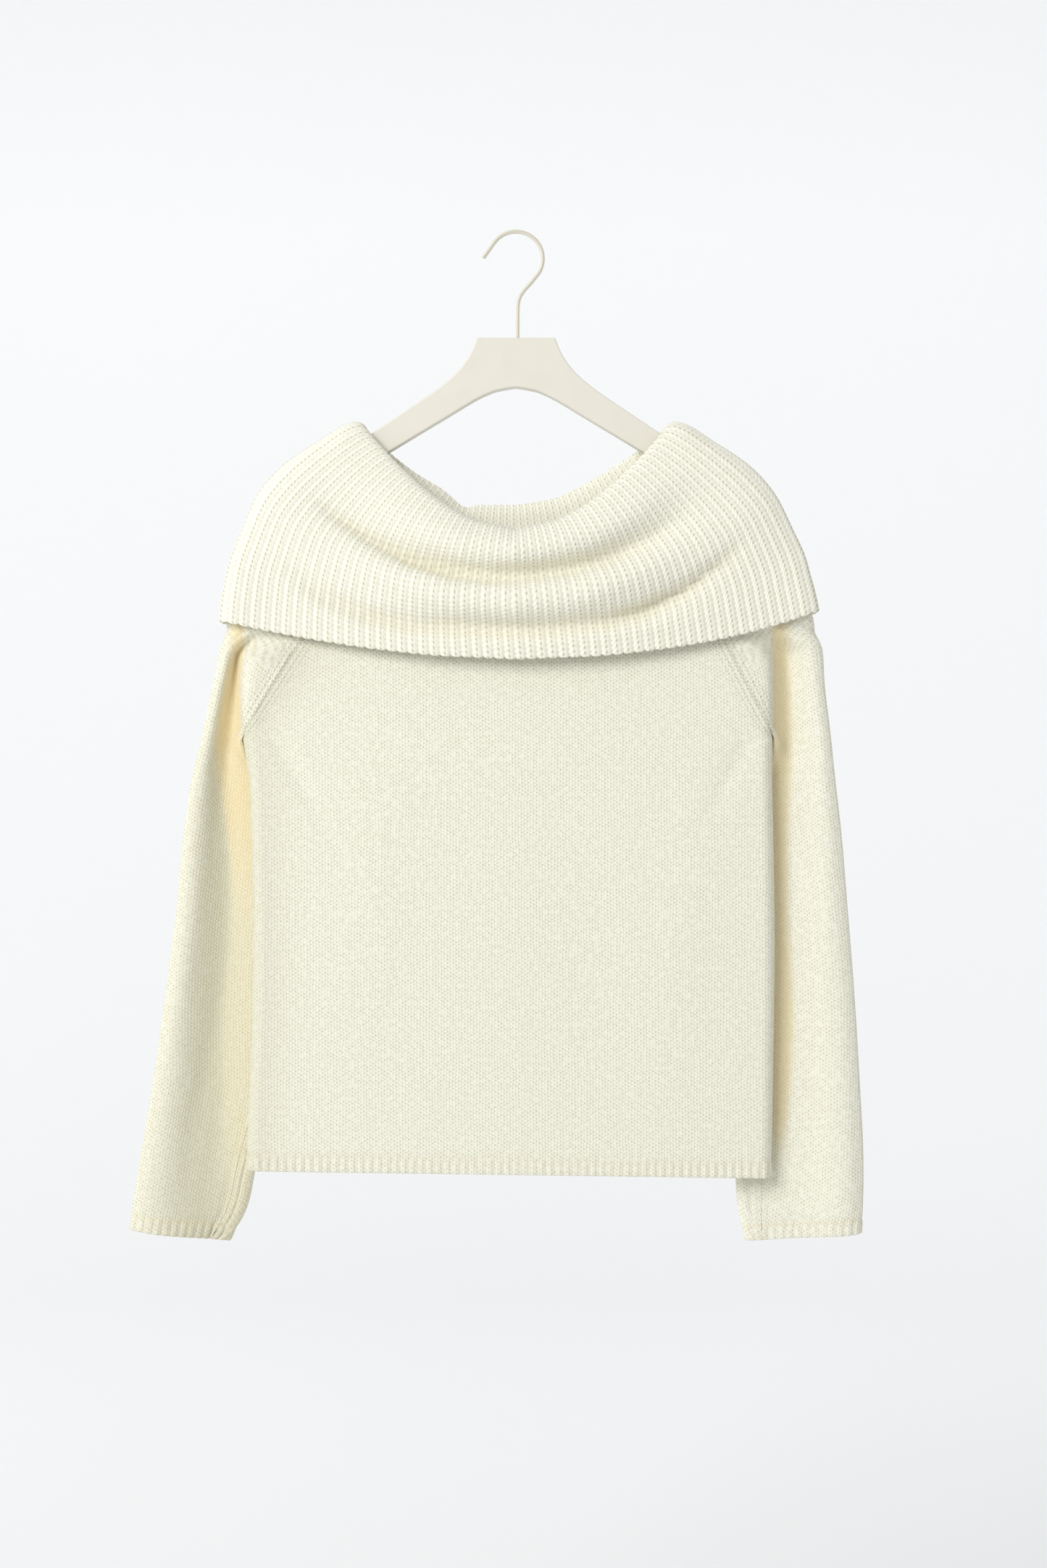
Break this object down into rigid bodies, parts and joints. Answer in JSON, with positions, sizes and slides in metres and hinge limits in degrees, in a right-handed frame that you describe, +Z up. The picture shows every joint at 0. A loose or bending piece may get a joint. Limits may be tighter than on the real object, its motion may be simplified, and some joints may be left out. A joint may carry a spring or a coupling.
{
  "type": "off-shoulder sweater on a hanger",
  "caption": "Cream off-shoulder raglan sweater with a deep folded rib collar, hanging flat on a moulded hanger with a wire hook.",
  "frame": {"origin": "inner crown of the hanger's hook, where it bears on what holds it up", "axes": "+Z up along the hook's stem, +X to the right seen from the front, +Y away from the viewer, so the front faces -Y"},
  "size_m": [0.6523, 0.0779, 0.9011],
  "materials": {
    "front": "matte",
    "back": "matte",
    "sleeve_left": "matte",
    "sleeve_right": "matte",
    "collar": "matte",
    "hanger_body": "matte",
    "hanger_hook": "satin"
  },
  "bodies": {
    "root": {"front": "front", "back": "back", "sleeve_left": "sleeve_left", "sleeve_right": "sleeve_right", "collar": "collar", "hanger_body": "hanger_body", "hanger_hook": "hanger_hook"}
  },
  "joints": []
}
